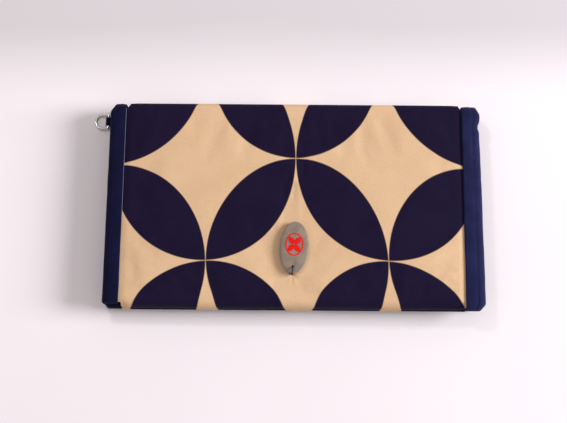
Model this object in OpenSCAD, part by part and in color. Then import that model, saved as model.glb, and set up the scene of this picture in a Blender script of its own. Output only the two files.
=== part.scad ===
// Wristlet wallet: a padded fabric bifold that closes at the bottom edge with a magnetic snap.
// It lies on its rear cover. +X is along the fold, +Y points to the fold and +Z is up.
// The origin is on the resting face, in the middle of the closed wallet.

/* [Wallet] */
// Width of the closed wallet, across both side bindings
wallet_w = 200; // [185:1:220]
// Height of the closed wallet, from the bottom edge to the fold
wallet_h = 111; // [106:1:120]
// Thickness of the closed wallet
wallet_t = 16; // [16:0.5:19]
// Width of the bias binding along each side
binding_w = 9.5; // [8:0.5:11]

/* [Oval tag] */
// Width of the tag
tag_w = 15; // [13:0.5:17]
// Length of the tag
tag_l = 27.5; // [24:0.5:29]
// Thickness of the tag
tag_t = 2; // [1.8:0.1:2.2]

/* [Strap ring] */
// Clear width inside the ring, along its straight bar
ring_inner_w = 6.4; // [6.4:0.2:8]
// Thickness of the ring's wire
ring_wire = 1.3; // [1.1:0.1:1.4]

/* [Coin pocket] */
// Length of the zip's teeth
zip_l = 152; // [120:2:156]
// Depth of the pocket, from the bottom seam to its bound top edge
pocket_h = 90; // [86:1:92]

/* [Hidden] */
$fn = 48;

print_cream = "#dcb98f";
binding_navy = "#1b1d3c";
lining_navy = "#2b2b52";
foam_white = "#e8e6e0";
metal = "#b9b8b4";
shell_brown = "#857060";
emblem_red = "#b81414";
thread_black = "#141416";
magnet_grey = "#3a3a3c";

gap = 0.1;              // between layers that lie against each other
cloth_t = 0.6;          // a layer of the outer cloth, the lining or the binding
cover_t = 3.5;          // outer cloth, padding and lining together
fold_r = 5;             // radius of the outer cloth round the fold and the bottom edge
fold_arc = 43;          // how far each cover's cloth goes round its corner of the fold
lip_h = 8;              // the bottom edge of the front cover hangs down by this much
rear_setback = 2.5;     // the rear cover stops short of the front cover's lip
left_short = 3;         // the left front binding stops this far short of the hem

side_x = wallet_w / 2;
cloth_x = side_x - binding_w - gap;         // the outer cloth stops at the binding
grip_x = side_x - cloth_t - gap;            // padding, lining and pockets run into the binding
fold_y = wallet_h / 2;
edge_y = -wallet_h / 2;
rear_edge_y = edge_y + rear_setback;
flat_y = fold_y - fold_r;                   // where the flat of each cover ends and the fold begins
front_in_z = wallet_t - cover_t;            // inner face of the front cover

// Layers of the rear half, from the table up
bill_gap = 0.8;                             // room for notes behind the coin pocket
bill_z = cover_t + bill_gap;                // back wall of the coin pocket
coin_z = 6;                                 // front wall of the coin pocket and the zip's tape
coin_top_z = coin_z + cloth_t;
rear_bound_z = coin_top_z + cloth_t;        // top of the rear binding

// Card pockets hang under the front cover, one below the other
tier_step = cloth_t + gap;
front_bound_z = front_in_z - 3 * tier_step - cloth_t;   // underside of the front binding
card_bottom_y = -14;
card_top_y = 38;
card_stagger = 12;

// Pocket and zip
seam_w = 4;             // from the rear cover's edge to the bottom of the pockets
seam_inset = 0.8;       // the seam under the pockets starts this far in from the edge
pocket_bottom_y = rear_edge_y + seam_w;
pocket_top_y = pocket_bottom_y + pocket_h;
zip_drop = 22;          // the zip lies this far below the pocket's top edge
zip_y = pocket_top_y - zip_drop;
tape_half = 8;          // width of each tape, measured from the middle of the zip
wrap_t = 0.4;           // binding round the pocket's top edge
wrap_w = 5;
tooth_gap = 0.4;        // half the space between the two rows of teeth, for the slider's post
tooth_w = 1.5;
tooth_h = 1.2;
stop_l = 1.4;
stop_gap = 0.2;
stop_sink = 0.7;        // half the height of a stop
slider_l = 9;
slider_w = 6.4;
slider_t = 0.7;
slider_gap = 0.15;
slider_start = 0.6;     // from the end of the teeth to the closed slider
slider_x = -zip_l / 2 + slider_l / 2 + slider_start;

// Magnetic snap
snap_y = -30;
snap_r = 8.5;
socket_h = 3.6;
nub_r = 2.6;
nub_hole_r = 3.1;
leg_x = 4.5;            // each half is held by two legs through the cloth
leg_w = 0.6;
leg_l = 3;
washer_t = 0.5;
cap_t = 0.5;            // sheet of the socket's cap
tube_t = 0.4;           // and of the tube that the nub goes into
tube_z = 0.7;
magnet_z = 0.6;         // the magnet is held between the base and the cap's face
base_t = 0.5;
leg_turn = 0.3;         // a leg reaches past its washer by this much
socket_top_z = coin_top_z + socket_h;

// Strap ring and its tab
wire_r = ring_wire / 2;
ring_r = ring_inner_w / 2 + wire_r;         // centreline radius of the round end
ring_leg = 3.1;
ring_y = fold_y - 7.3;
tab_w = 4.6;
tab_t = 0.6;
tab_z = 1.7;
tab_clear = 0.05;
tab_r = wire_r + tab_clear + tab_t;
ring_x = -side_x - tab_r - 0.2;
ring_tilt = asin((tab_z - wire_r) / (ring_leg + ring_r));  // the round end rests on the table

// Tag, hung on a ring of thread that goes through the front cover
thread_r = 0.35;
loop_r = 2.1;
tag_x = -0.5;
tag_y = -37.2;
tag_turn = -4;          // the tag leans a little to the right
tag_z = wallet_t + 1.6; // height of the thread ring's centre, which is the tag's middle plane
tag_rim = 1.45;         // from the thread ring's centre to the tag's lower end
tag_hole_r = 0.75;
tag_hole_at = 2;
eyelet_r = 2.8;
eyelet_depth = 1.2;

function arc(centre, r, from, to, steps = 8) =
    [for (i = [0:steps]) let (a = from + (to - from) * i / steps) centre + r * [cos(a), sin(a)]];
function backwards(points) = [for (i = [len(points) - 1:-1:0]) points[i]];
function ellipse_points(w, l, steps = 40) =
    [for (i = [0:steps - 1]) [w / 2 * cos(360 * i / steps), l / 2 * sin(360 * i / steps)]];

// Extrudes a (Y, Z) outline along X, centred
module along_x(length) rotate([90, 0, 90]) linear_extrude(height = length, center = true) children();

// A flat layer, given by its half width and its Y and Z limits
module layer(half_w, y_from, y_to, z, t)
    translate([-half_w, y_from, z]) cube([2 * half_w, y_to - y_from, t]);

module on_side(side) mirror([side < 0 ? 1 : 0, 0, 0]) children();

// A folded strip of binding: a channel open towards the middle, on the +X side
module binding(y_from, y_to, z_from, z_to) {
    length = y_to - y_from;
    translate([side_x - binding_w, y_from, z_from]) difference() {
        cube([binding_w, length, z_to - z_from]);
        translate([-1, -1, cloth_t])
            cube([binding_w - cloth_t + 1, length + 2, z_to - z_from - 2 * cloth_t]);
    }
}

// Two slits in a layer, for the legs of a snap half
module leg_slits(z, t)
    for (side = [-1, 1]) translate([side * leg_x, snap_y, z + t / 2])
        cube([leg_w + 2 * gap, leg_l + 2 * gap, t + 2], center = true);

module legs(z_from, z_to)
    for (side = [-1, 1]) translate([side * leg_x - leg_w / 2, snap_y - leg_l / 2, z_from])
        cube([leg_w, leg_l, z_to - z_from]);

// ---- Rear cover ----

module rear_cover_fabric() color(print_cream) along_x(2 * cloth_x) union() {
    polygon(concat(
        arc([flat_y, fold_r], fold_r, 270 + fold_arc, 270),
        [[rear_edge_y + cover_t, 0], [rear_edge_y + cover_t, cloth_t]],
        arc([flat_y, fold_r], fold_r - cloth_t, 270, 270 + fold_arc)));
    polygon(concat([[rear_edge_y + cover_t + gap, cover_t], [rear_edge_y, cover_t]],
        arc([rear_edge_y + cover_t, cover_t], cover_t, 180, 270),
        [[rear_edge_y + cover_t + gap, 0]]));
}

module rear_padding() color(foam_white) difference() {
    layer(grip_x, rear_edge_y + cover_t + 2 * gap, flat_y - 1, cloth_t, cover_t - 2 * cloth_t);
    translate([-side_x, ring_y - tab_w / 2 - gap, tab_z - tab_t - gap])
        cube([binding_w + gap, tab_w + 2 * gap, 2 * tab_t + 2 * gap]);
}

module rear_lining() color(lining_navy)
    layer(grip_x, rear_edge_y + cover_t + 2 * gap, flat_y - 1, cover_t - cloth_t, cloth_t);

module rear_binding_right() color(binding_navy) binding(rear_edge_y, flat_y, 0, rear_bound_z);

// The left binding has a slit that the ring's tab comes out of
module rear_binding_left() color(binding_navy) difference() {
    on_side(-1) binding(rear_edge_y, flat_y, 0, rear_bound_z);
    translate([-side_x - 1, ring_y - tab_w / 2 - gap, tab_z - tab_t - gap])
        cube([binding_w, tab_w + 2 * gap, 2 * tab_t + 2 * gap]);
}

// ---- Bill pocket and zipped coin pocket ----

module bill_pocket_panel() color(lining_navy)
    layer(grip_x, pocket_bottom_y, pocket_top_y, bill_z, cloth_t);

module coin_pocket_front() color(lining_navy) difference() {
    layer(grip_x, pocket_bottom_y, zip_y - tape_half - gap, coin_z, cloth_t);
    leg_slits(coin_z, cloth_t);
}

module coin_pocket_top() color(lining_navy)
    layer(grip_x, zip_y + tape_half + gap, pocket_top_y, coin_z, cloth_t);

module pocket_top_binding() color(binding_navy) {
    along_x(2 * cloth_x) difference() {
        translate([pocket_top_y - wrap_w, bill_z - wrap_t])
            square([wrap_w + wrap_t + gap, coin_top_z - bill_z + 2 * wrap_t]);
        translate([pocket_top_y - wrap_w - 1, bill_z - gap / 2])
            square([wrap_w + 1 + gap, coin_top_z - bill_z + gap]);
    }
}

module pocket_bottom_seam() color(lining_navy)
    layer(cloth_x, rear_edge_y + seam_inset, pocket_bottom_y - gap, cover_t + gap / 2,
        coin_top_z - cover_t - gap / 2);

module zip_tape(side) color(binding_navy) translate([0, zip_y, 0])
    mirror([0, side < 0 ? 1 : 0, 0]) layer(grip_x, tooth_gap, tape_half, coin_z, cloth_t);

module zip_teeth(side) color(metal) translate([0, zip_y, 0])
    mirror([0, side < 0 ? 1 : 0, 0])
        layer(zip_l / 2, tooth_gap, tooth_gap + tooth_w, coin_top_z, tooth_h);

// A stop across both rows at each end of the teeth
module zip_stops() color(metal) for (side = [-1, 1])
    translate([side * (zip_l / 2 + stop_gap + stop_l / 2), zip_y, coin_top_z + stop_sink])
        cube([stop_l, 2 * (tooth_gap + tooth_w), 2 * stop_sink], center = true);

module zip_slider() color(metal) translate([slider_x, zip_y, 0]) {
    low_z = coin_z - slider_gap - slider_t;
    high_z = coin_top_z + tooth_h + slider_gap;
    post_l = 1.8;
    flange_w = 0.7;
    for (z = [low_z, high_z])
        translate([-slider_l / 2, -slider_w / 2, z]) cube([slider_l, slider_w, slider_t]);
    translate([-slider_l / 2, -tooth_gap / 2, low_z + slider_t / 2])
        cube([post_l, tooth_gap, high_z - low_z]);
    for (side = [-1, 1])
        translate([-slider_l / 2, side * (slider_w - flange_w) / 2 - flange_w / 2,
            coin_top_z + slider_gap])
            cube([slider_l, flange_w, high_z - coin_top_z]);
    // Bail that holds the pull
    bail_z = high_z + slider_t;
    bail_w = 1.2;
    post_w = 0.8;
    post_x = 2.5;
    bail_room = 0.75;
    bail_t = 0.4;
    for (x = [-post_x, post_x]) translate([x - post_w / 2, -bail_w / 2, bail_z - 0.2])
        cube([post_w, bail_w, bail_room + bail_t - 0.05]);
    translate([-post_x - post_w / 2, -bail_w / 2, bail_z + bail_room])
        cube([2 * post_x + post_w, bail_w, bail_t]);
}

module zip_pull() color(metal) {
    pull_z = coin_top_z + tooth_h + slider_gap + slider_t + gap;
    pull_l = 17;
    pull_w = 4.4;
    pull_t = 0.5;
    translate([slider_x, zip_y, pull_z]) difference() {
        hull() {
            translate([0.2, 0, 0]) cylinder(d = pull_w - 0.6, h = pull_t);
            translate([pull_l - pull_w / 2, 0, 0]) cylinder(d = pull_w, h = pull_t);
        }
        // Eye that goes round the near post of the bail
        translate([-0.9, -0.8, -1]) cube([4, 1.6, 3]);
        translate([pull_l - pull_w, 0, -1]) cylinder(r = 1, h = 3);
    }
}

// ---- Magnetic snap ----

module snap_socket_cap() color(metal) translate([0, snap_y, coin_top_z]) difference() {
    cylinder(r = snap_r, h = socket_h);
    difference() {
        translate([0, 0, -1]) cylinder(r = snap_r - cap_t, h = 1 + socket_h - cap_t);
        translate([0, 0, tube_z]) cylinder(r = nub_hole_r + tube_t, h = socket_h);
    }
    translate([0, 0, -1]) cylinder(r = nub_hole_r, h = socket_h + 2);
}

module snap_magnet() color(magnet_grey) translate([0, snap_y, coin_top_z + magnet_z]) difference() {
    cylinder(r = snap_r - cap_t - gap, h = socket_h - 2 * magnet_z);
    translate([0, 0, -1]) cylinder(r = nub_hole_r + tube_t + gap, h = socket_h + 1);
}

module snap_socket_base() color(metal) {
    translate([0, snap_y, coin_top_z]) cylinder(r = snap_r - cap_t - gap, h = base_t);
    legs(coin_z - washer_t - leg_turn, coin_top_z + base_t / 2);
}

module snap_socket_washer() color(metal) difference() {
    translate([0, snap_y, coin_z - washer_t]) cylinder(r = snap_r - cap_t, h = washer_t - gap / 2);
    leg_slits(coin_z - washer_t, washer_t);
}

module snap_stud() color(metal) {
    flange_z = socket_top_z + gap;
    face_r = snap_r - 1.5;
    nub_l = 1.9;
    plate_t = 1;
    translate([0, snap_y, flange_z]) cylinder(r = face_r, h = front_in_z - flange_z);
    translate([0, snap_y, front_in_z - plate_t]) cylinder(r = snap_r, h = plate_t);
    translate([0, snap_y, flange_z - nub_l]) cylinder(r = nub_r, h = nub_l + 0.3);
    legs(front_in_z - 0.2, front_in_z + cloth_t + washer_t + leg_turn);
}

module snap_stud_washer() color(metal) difference() {
    translate([0, snap_y, front_in_z + cloth_t + gap / 2])
        cylinder(r = snap_r - cap_t, h = washer_t);
    leg_slits(front_in_z + cloth_t, washer_t);
}

// ---- Spine ----

module spine_fabric() color(print_cream) along_x(2 * cloth_x) {
    low = [flat_y, fold_r];
    high = [flat_y, wallet_t - fold_r];
    inner_r = fold_r - cloth_t;
    polygon(concat(
        arc(low, fold_r, -fold_arc, 0), arc(high, fold_r, 0, fold_arc),
        backwards(arc(high, inner_r, 0, fold_arc)), backwards(arc(low, inner_r, -fold_arc, 0))));
}

module spine_padding() color(foam_white)
    translate([-grip_x, fold_y - cover_t + cloth_t, fold_r])
        cube([2 * grip_x, cover_t - 2 * cloth_t - gap / 2, wallet_t - 2 * fold_r]);

module spine_lining() color(lining_navy)
    translate([-grip_x, fold_y - cover_t, fold_r - 0.5])
        cube([2 * grip_x, cloth_t, wallet_t - 2 * fold_r + 1]);

// The binding goes on round the fold, so its channel stands upright here
module spine_binding(side) color(binding_navy) on_side(side) {
    low_z = fold_r - 1;
    high_z = wallet_t - fold_r + 1;
    translate([side_x - binding_w, fold_y - cover_t - cloth_t - gap, low_z]) difference() {
        cube([binding_w, cover_t + cloth_t + gap, high_z - low_z]);
        translate([-1, cloth_t, -1])
            cube([binding_w - cloth_t + 1, cover_t - cloth_t + gap, high_z - low_z + 2]);
    }
}

// ---- Front cover ----

// Dimple that the ring of thread sinks into
module eyelet() translate([tag_x, tag_y, wallet_t - eyelet_depth])
    cylinder(r = eyelet_r, h = 2 * eyelet_depth);

module front_cover_fabric() color(print_cream) difference() {
    along_x(2 * cloth_x) union() {
        polygon(concat(
            arc([flat_y, wallet_t - fold_r], fold_r, 90 - fold_arc, 90),
            [[edge_y + fold_r, wallet_t], [edge_y + fold_r, wallet_t - cloth_t]],
            arc([flat_y, wallet_t - fold_r], fold_r - cloth_t, 90, 90 - fold_arc)));
        // Turned hem of the bottom edge, which hangs down over the pockets
        polygon(concat(
            [[edge_y + fold_r + gap, wallet_t]],
            arc([edge_y + fold_r, wallet_t - fold_r], fold_r, 90, 180),
            [[edge_y, wallet_t - lip_h], [edge_y + cover_t, wallet_t - lip_h]],
            arc([edge_y + fold_r, wallet_t - fold_r], fold_r - cover_t, 180, 90),
            [[edge_y + fold_r + gap, front_in_z]]));
    }
    eyelet();
}

module front_padding() color(foam_white) difference() {
    layer(grip_x, edge_y + fold_r + 2 * gap, flat_y - 1, front_in_z + cloth_t,
        cover_t - 2 * cloth_t);
    translate([0, snap_y, front_in_z + cloth_t - 1])
        cylinder(r = snap_r, h = 1 + washer_t + 0.5);
    eyelet();
}

module front_lining() color(lining_navy) difference() {
    layer(grip_x, edge_y + fold_r + 2 * gap, flat_y - 1, front_in_z, cloth_t);
    leg_slits(front_in_z, cloth_t);
}

// The left binding is tucked in a little short of the hem, and the right one reaches it
module front_binding(side) color(binding_navy)
    on_side(side) binding(edge_y + (side < 0 ? left_short : 0), flat_y, front_bound_z, wallet_t);

// Card pockets are strips of lining, each set lower and further from the fold than the last
module card_pocket(tier) color(lining_navy)
    layer(grip_x, card_bottom_y, card_top_y - tier * card_stagger,
        front_in_z - (tier + 1) * tier_step, cloth_t);

// ---- Oval tag, in a frame centred on its ring of thread ----

module at_tag() translate([tag_x, tag_y, tag_z]) rotate([0, 0, tag_turn]) children();

module tag_outline(inset) translate([0, tag_l / 2 - tag_rim])
    polygon(ellipse_points(tag_w - 2 * inset, tag_l - 2 * inset));

module tag_thread() color(thread_black) at_tag()
    rotate([0, 90, 0]) rotate_extrude() translate([loop_r, 0]) circle(r = thread_r);

module oval_tag() color(shell_brown) at_tag() difference() {
    edge = 0.55;
    hull() {
        translate([0, 0, -tag_t / 2 + edge]) linear_extrude(height = tag_t - 2 * edge) tag_outline(0);
        translate([0, 0, -tag_t / 2]) linear_extrude(height = tag_t) tag_outline(edge);
    }
    translate([0, tag_hole_at, -tag_t]) cylinder(r = tag_hole_r, h = 2 * tag_t);
}

// Four petals in a ring, painted on the tag
module tag_emblem() color(emblem_red) at_tag() {
    paint_t = 0.12;
    petal_r = 2.6;
    outline_r = 4.2;
    outline_w = 0.5;
    above_middle = 1.5;
    translate([0, tag_l / 2 - tag_rim + above_middle, tag_t / 2 + 0.01])
        linear_extrude(height = paint_t) {
        difference() {
            circle(r = outline_r);
            circle(r = outline_r - outline_w);
        }
        for (turn = [0:90:270]) rotate(turn) translate([petal_r * 0.7, 0]) intersection() {
            translate([0, petal_r * 0.55]) circle(r = petal_r * 0.85);
            translate([0, -petal_r * 0.55]) circle(r = petal_r * 0.85);
        }
    }
}

// ---- Strap ring ----

module ring_tab() color(binding_navy) translate([0, ring_y + tab_w / 2, 0])
    rotate([90, 0, 0]) linear_extrude(height = tab_w) {
        difference() {
            translate([ring_x, tab_z]) circle(r = tab_r);
            translate([ring_x, tab_z]) circle(r = wire_r + tab_clear);
        }
        tail_x = ring_x + tab_r - 0.15;
        translate([tail_x, tab_z - tab_t]) square([-side_x + binding_w - 1.5 - tail_x, 2 * tab_t]);
    }

module strap_ring() color(metal)
    translate([ring_x, ring_y, tab_z]) rotate([0, -ring_tilt, 0]) {
        rotate([90, 0, 0]) cylinder(r = wire_r, h = 2 * ring_r, center = true);
        for (side = [-1, 1]) translate([0, side * ring_r, 0]) {
            rotate([0, -90, 0]) cylinder(r = wire_r, h = ring_leg);
            sphere(r = wire_r);
        }
        translate([-ring_leg, 0, 0]) rotate([0, 0, 90])
            rotate_extrude(angle = 180) translate([ring_r, 0]) circle(r = wire_r);
    }

rear_cover_fabric();
rear_padding();
rear_lining();
rear_binding_left();
rear_binding_right();
bill_pocket_panel();
coin_pocket_front();
coin_pocket_top();
pocket_top_binding();
pocket_bottom_seam();
zip_tape(1);  // zip_tape_upper
zip_tape(-1);  // zip_tape_lower
zip_teeth(1);  // zip_teeth_upper
zip_teeth(-1);  // zip_teeth_lower
zip_stops();
snap_socket_cap();
snap_magnet();
snap_socket_base();
snap_socket_washer();
ring_tab();
strap_ring();
zip_slider();
zip_pull();
spine_fabric();
spine_padding();
spine_lining();
spine_binding(-1);  // spine_binding_left
spine_binding(1);  // spine_binding_right
front_cover_fabric();
front_padding();
front_lining();
front_binding(-1);  // front_binding_left
front_binding(1);  // front_binding_right
card_pocket(0);  // card_pocket_1
card_pocket(1);  // card_pocket_2
card_pocket(2);  // card_pocket_3
snap_stud();
snap_stud_washer();
tag_thread();
oval_tag();
tag_emblem();
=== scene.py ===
import math
import random
import bpy
import numpy as np
from mathutils import Matrix, Vector, noise


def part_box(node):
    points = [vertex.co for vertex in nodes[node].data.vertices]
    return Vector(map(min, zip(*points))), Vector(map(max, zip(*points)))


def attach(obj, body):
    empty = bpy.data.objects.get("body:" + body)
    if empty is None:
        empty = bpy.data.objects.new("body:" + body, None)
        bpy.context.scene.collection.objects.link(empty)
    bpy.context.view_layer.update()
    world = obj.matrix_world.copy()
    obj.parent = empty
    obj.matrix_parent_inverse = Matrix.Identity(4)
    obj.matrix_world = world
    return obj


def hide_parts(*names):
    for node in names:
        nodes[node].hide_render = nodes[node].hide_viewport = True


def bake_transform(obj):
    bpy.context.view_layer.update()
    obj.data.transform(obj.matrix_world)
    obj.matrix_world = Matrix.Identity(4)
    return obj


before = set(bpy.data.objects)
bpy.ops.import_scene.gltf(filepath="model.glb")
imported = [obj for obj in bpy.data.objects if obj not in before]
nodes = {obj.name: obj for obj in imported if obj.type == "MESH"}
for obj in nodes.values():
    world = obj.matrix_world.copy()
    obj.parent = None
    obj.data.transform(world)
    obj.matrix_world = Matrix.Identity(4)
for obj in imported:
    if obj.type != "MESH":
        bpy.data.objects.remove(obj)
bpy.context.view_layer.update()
random.seed(7)
mm = 0.001
print("frame loaded:", len(nodes), "nodes")


# ---- places, all taken from the frame

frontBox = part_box("front_cover_fabric")
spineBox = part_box("spine_fabric")
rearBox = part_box("rear_cover_fabric")
frontBindBox = {-1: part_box("front_binding_left"), 1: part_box("front_binding_right")}
rearBindBox = {-1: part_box("rear_binding_left"), 1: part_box("rear_binding_right")}

wallet = {
    "half": frontBindBox[1][1].x,          # middle to the outside of a binding
    "cloth": frontBox[1].x,                # middle to the side edge of the print
    "bottom": frontBox[0].y,
    "fold": spineBox[1].y,
    "top": frontBox[1].z,
    "foldRadius": 5 * mm,
}
foldStart = wallet["fold"] - wallet["foldRadius"]
midSpine = wallet["top"] / 2

# the handmade cover isn't quite square: (bottom, top) distance from the middle on each side
sides = {
    -1: {"outer": (99.1 * mm, 98.5 * mm), "seam": (90.5 * mm, 90.1 * mm)},
    1: {"outer": (100.0 * mm, 99.2 * mm), "seam": (89.4 * mm, 89.7 * mm)},
}
hemEdge = wallet["bottom"] - 1.0 * mm


def sideEdge(side, kind, y):
    low, high = sides[side][kind]
    share = (y - wallet["bottom"]) / (wallet["fold"] - wallet["bottom"])
    return low + (high - low) * min(1.0, max(0.0, share))


# ---- mesh helpers

def makeObject(name, points, faces, flat=None, sharpAngle=45):
    mesh = bpy.data.meshes.new(name)
    mesh.from_pydata([tuple(p) for p in points], [], faces)
    mesh.validate()
    if flat is not None:
        layer = mesh.uv_layers.new(name="flat")
        corner = np.zeros(len(mesh.loops), np.int32)
        mesh.loops.foreach_get("vertex_index", corner)
        layer.data.foreach_set("uv", np.asarray(flat, np.float32)[corner].ravel())
    mesh.shade_smooth()
    mesh.set_sharp_from_angle(angle=math.radians(sharpAngle))
    piece = bpy.data.objects.new(name, mesh)
    bpy.context.scene.collection.objects.link(piece)
    return piece


def gridFaces(rows, columns, wrapRows=False, wrapColumns=False, first=0, flip=False):
    faces = []
    for r in range(rows if wrapRows else rows - 1):
        for c in range(columns if wrapColumns else columns - 1):
            a = first + r * columns + c
            b = first + r * columns + (c + 1) % columns
            d = first + ((r + 1) % rows) * columns + c
            e = first + ((r + 1) % rows) * columns + (c + 1) % columns
            faces.append((a, d, e, b) if flip else (a, b, e, d))
    return faces


def bridge(loopA, loopB, closed=True):
    count = len(loopA)
    return [(loopA[i], loopA[(i + 1) % count], loopB[(i + 1) % count], loopB[i])
            for i in range(count if closed else count - 1)]


def rimLoop(rows, columns, first=0):
    # points round the edge of a grid, in order
    rim = [(0, c) for c in range(columns)] + [(r, columns - 1) for r in range(1, rows)]
    rim += [(rows - 1, c) for c in range(columns - 2, -1, -1)] + [(r, 0) for r in range(rows - 2, 0, -1)]
    return [first + r * columns + c for r, c in rim]


def slabFaces(rows, columns, up=True, first=0):
    # two grids of points, one after the other, closed into a thin solid
    count = rows * columns
    loop = rimLoop(rows, columns, first)
    walls = bridge(loop, [i + count for i in loop])
    return (gridFaces(rows, columns, first=first, flip=not up)
            + gridFaces(rows, columns, first=first + count, flip=up)
            + ([tuple(reversed(f)) for f in walls] if up else walls))


def smoothStep(low, high, value):
    t = np.clip((value - low) / (high - low), 0, 1)
    return t * t * (3 - 2 * t)


def softNoise(x, y, scale, seed):
    # smooth random field of about -1 to 1
    return noise.noise(Vector((x / scale + seed * 7.3, y / scale - seed * 3.1, seed * 1.7)))


def finishPiece(piece, body, material, replaced=(), bend=None):
    piece.data.materials.clear()
    piece.data.materials.append(material)
    if replaced:
        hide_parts(*replaced)
    if bend:
        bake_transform(piece)
    else:
        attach(piece, body)
    return piece


# the spine below the fold's middle and the cover above it, and where the fold starts and ends;
# finishPiece only bakes the transform of a piece given one of these
frontBend = {"from": "spine", "to": "front_cover",
             "start": (0, wallet["fold"], wallet["top"] - wallet["foldRadius"]),
             "end": (0, foldStart, wallet["top"])}
rearBend = {"from": "rear_cover", "to": "spine",
            "start": (0, foldStart, 0),
            "end": (0, wallet["fold"], wallet["foldRadius"])}


# ---- node helpers

def addNode(tree, kind, inputs=None, **settings):
    node = tree.nodes.new(kind)
    for key, value in settings.items():
        setattr(node, key, value)
    for key, value in (inputs or {}).items():
        socket = node.inputs[key]
        if isinstance(value, bpy.types.NodeSocket):
            tree.links.new(value, socket)
        else:
            socket.default_value = value
    return node


def calc(tree, operation, a, b=0.0, c=None, clamp=False):
    inputs = {0: a, 1: b}
    if c is not None:
        inputs[2] = c
    return addNode(tree, "ShaderNodeMath", inputs, operation=operation, use_clamp=clamp).outputs[0]


def remap(tree, value, low, high, toLow=0.0, toHigh=1.0, smooth=True):
    return addNode(tree, "ShaderNodeMapRange",
                   {"Value": value, "From Min": low, "From Max": high, "To Min": toLow, "To Max": toHigh},
                   interpolation_type="SMOOTHSTEP" if smooth else "LINEAR").outputs[0]


def mixColour(tree, factor, a, b, blend="MIX"):
    node = addNode(tree, "ShaderNodeMix", data_type="RGBA", blend_type=blend)
    for socket, value in ((node.inputs[0], factor), (node.inputs[6], a), (node.inputs[7], b)):
        if isinstance(value, bpy.types.NodeSocket):
            tree.links.new(value, socket)
        else:
            socket.default_value = value
    return node.outputs[2]


def newGroup(name, inputs, outputs):
    group = bpy.data.node_groups.new(name, "ShaderNodeTree")
    for label, kind, value in inputs:
        socket = group.interface.new_socket(label, in_out="INPUT", socket_type=kind)
        if value is not None:
            socket.default_value = value
    for label, kind in outputs:
        group.interface.new_socket(label, in_out="OUTPUT", socket_type=kind)
    return group, group.nodes.new("NodeGroupInput"), group.nodes.new("NodeGroupOutput")


def useGroup(tree, group, inputs):
    return addNode(tree, "ShaderNodeGroup", inputs, node_tree=group)


def noiseValue(tree, vector, scale, detail, roughness=0.5):
    inputs = {"Vector": vector, "Scale": scale, "Detail": detail, "Roughness": roughness}
    return addNode(tree, "ShaderNodeTexNoise", inputs).outputs["Fac"]


def drawnOut(tree, vector, amount):
    # noise read through this comes out as streaks
    inputs = {0: vector, 1: (1.0, amount, 1.0)}
    return addNode(tree, "ShaderNodeVectorMath", inputs, operation="MULTIPLY").outputs[0]


def towards(tree, base, amount, strength, colour):
    return mixColour(tree, calc(tree, "MULTIPLY", amount, strength), base, colour)


def newMaterial(name, roughness=0.6, metallic=0.0, **fixed):
    material = bpy.data.materials.new(name)
    material.use_nodes = True
    tree = material.node_tree
    shader = tree.nodes["Principled BSDF"]
    shader.inputs["Roughness"].default_value = roughness
    shader.inputs["Metallic"].default_value = metallic
    for label, value in fixed.items():
        shader.inputs[label.replace("_", " ")].default_value = value
    return material, tree, shader


def rgb(red, green, blue):
    # screen colour, 0 to 255, to the linear colour that the sockets take
    return tuple((c / 255 / 12.92 if c / 255 <= 0.04045 else ((c / 255 + 0.055) / 1.055) ** 2.4)
                 for c in (red, green, blue)) + (1.0,)


# ---- shader groups

def buildWeave():
    # plain weave: one thread over, one under, with uneven threads
    group, source, result = newGroup(
        "plainWeave",
        [("Vector", "NodeSocketVector", None), ("Threads", "NodeSocketFloat", 2600.0),
         ("Unevenness", "NodeSocketFloat", 0.4)],
        [("Height", "NodeSocketFloat"), ("Painted Gap Shade And Thread Tone", "NodeSocketFloat")])
    wobble = noiseValue(group, source.outputs["Vector"], 420.0, 2.0)
    shift = calc(group, "MULTIPLY", calc(group, "SUBTRACT", wobble, 0.5), 0.0005)
    parts = addNode(group, "ShaderNodeSeparateXYZ", {0: source.outputs["Vector"]})
    waves = []
    for axis in (0, 1):
        moved = calc(group, "ADD", parts.outputs[axis], shift)
        turns = calc(group, "MULTIPLY", moved, source.outputs["Threads"])
        waves.append(calc(group, "SINE", calc(group, "MULTIPLY", turns, math.pi)))
    over = calc(group, "GREATER_THAN", calc(group, "MULTIPLY", waves[0], waves[1]), 0.0)
    warp, weft = (calc(group, "ABSOLUTE", w) for w in waves)
    height = addNode(group, "ShaderNodeMix", {0: over, 2: warp, 3: weft}, data_type="FLOAT").outputs[0]
    streak = noiseValue(group, source.outputs["Vector"], 900.0, 3.0)
    uneven = calc(group, "MULTIPLY", calc(group, "SUBTRACT", streak, 0.5), source.outputs["Unevenness"])
    group.links.new(calc(group, "ADD", height, uneven), result.inputs["Height"])
    # painted shade: the colour darkens where the threads dip into the gaps between them; the uneven threads
    # then add their own tone
    shade = calc(group, "MULTIPLY_ADD", height, 0.16, 0.9)
    group.links.new(calc(group, "ADD", shade, calc(group, "MULTIPLY", uneven, 0.3)),
                    result.inputs["Painted Gap Shade And Thread Tone"])
    return group


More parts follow.
